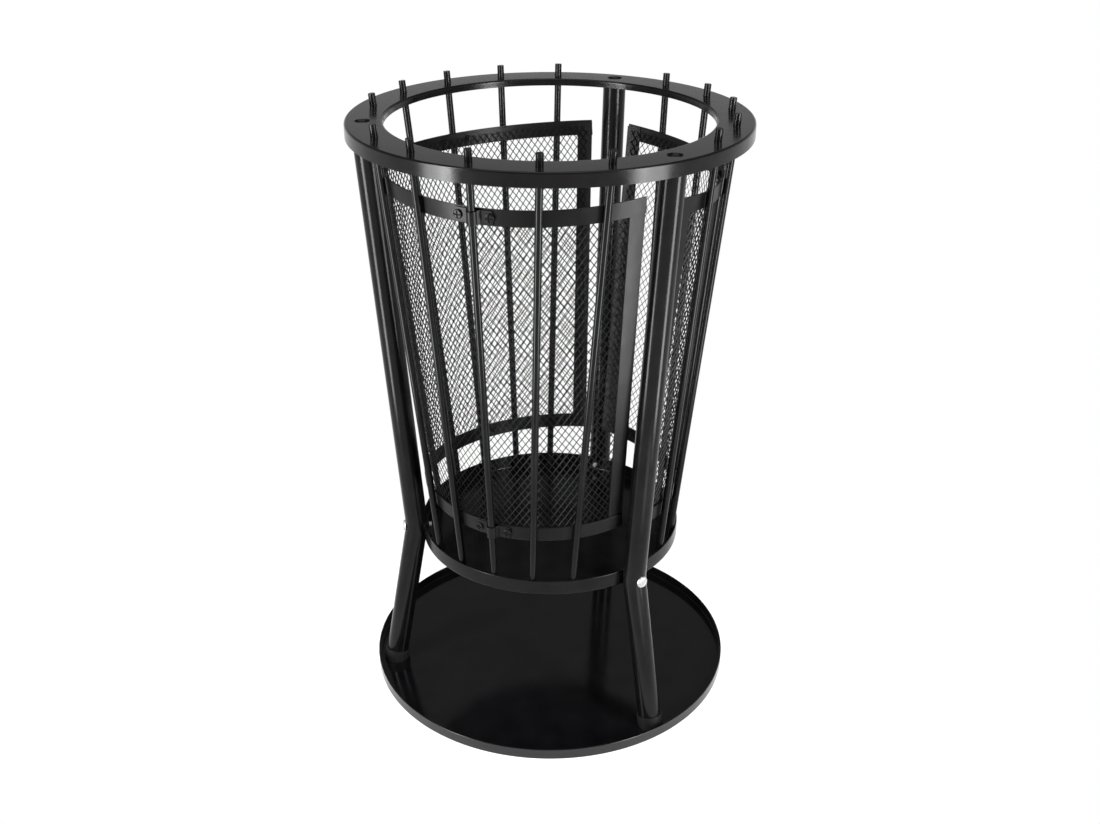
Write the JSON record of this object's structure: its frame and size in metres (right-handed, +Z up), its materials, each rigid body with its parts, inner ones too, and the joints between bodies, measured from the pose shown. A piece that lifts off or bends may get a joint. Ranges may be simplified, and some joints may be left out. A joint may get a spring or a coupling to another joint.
{
  "type": "fire basket",
  "caption": "Round garden fire basket: a flat ring and a shallow pan on bent tube legs, joined by slanted bars with curved mesh panels inside, over a low ash tray.",
  "frame": {"origin": "centre of the ash tray's underside, on the ground", "axes": "+Z up along the basket's axis; one leg stands on +Y, the other two 120 degrees to either side; -Y is the front"},
  "size_m": [0.445, 0.445, 0.7139],
  "materials": {
    "black_coat": "semi-gloss heat-proof coat",
    "cap_plastic": "matt",
    "zinc_steel": "bright zinc",
    "dark_steel": "dark plated"
  },
  "bodies": {
    "root": {"top_ring": "black_coat", "fire_pan": "black_coat", "ash_tray": "black_coat", "bar_01": "black_coat", "bar_02": "black_coat", "bar_03": "black_coat", "bar_04": "black_coat", "bar_05": "black_coat", "bar_06": "black_coat", "bar_07": "black_coat", "bar_08": "black_coat", "bar_09": "black_coat", "bar_10": "black_coat", "bar_11": "black_coat", "bar_12": "black_coat", "bar_13": "black_coat", "bar_14": "black_coat", "bar_15": "black_coat", "leg_1": "black_coat", "leg_2": "black_coat", "leg_3": "black_coat", "panel_1_top_strip": "black_coat", "panel_1_bottom_strip": "black_coat", "panel_1_left_strip": "black_coat", "panel_1_right_strip": "black_coat", "panel_1_mesh": "black_coat", "panel_1_top_clip": "black_coat", "panel_1_bottom_clip": "black_coat", "panel_2_top_strip": "black_coat", "panel_2_bottom_strip": "black_coat", "panel_2_left_strip": "black_coat", "panel_2_right_strip": "black_coat", "panel_2_mesh": "black_coat", "panel_2_top_clip": "black_coat", "panel_2_bottom_clip": "black_coat", "panel_3_top_strip": "black_coat", "panel_3_bottom_strip": "black_coat", "panel_3_left_strip": "black_coat", "panel_3_right_strip": "black_coat", "panel_3_mesh": "black_coat", "panel_3_top_clip": "black_coat", "panel_3_bottom_clip": "black_coat", "foot_cap_1": "cap_plastic", "foot_cap_2": "cap_plastic", "foot_cap_3": "cap_plastic", "pan_bolts": "zinc_steel", "leg_top_plugs": "zinc_steel", "leg_foot_plugs": "zinc_steel", "foot_screws": "zinc_steel", "pan_nuts": "dark_steel", "ring_screws": "dark_steel", "clip_screws": "dark_steel", "clip_nuts": "dark_steel"}
  },
  "joints": []
}
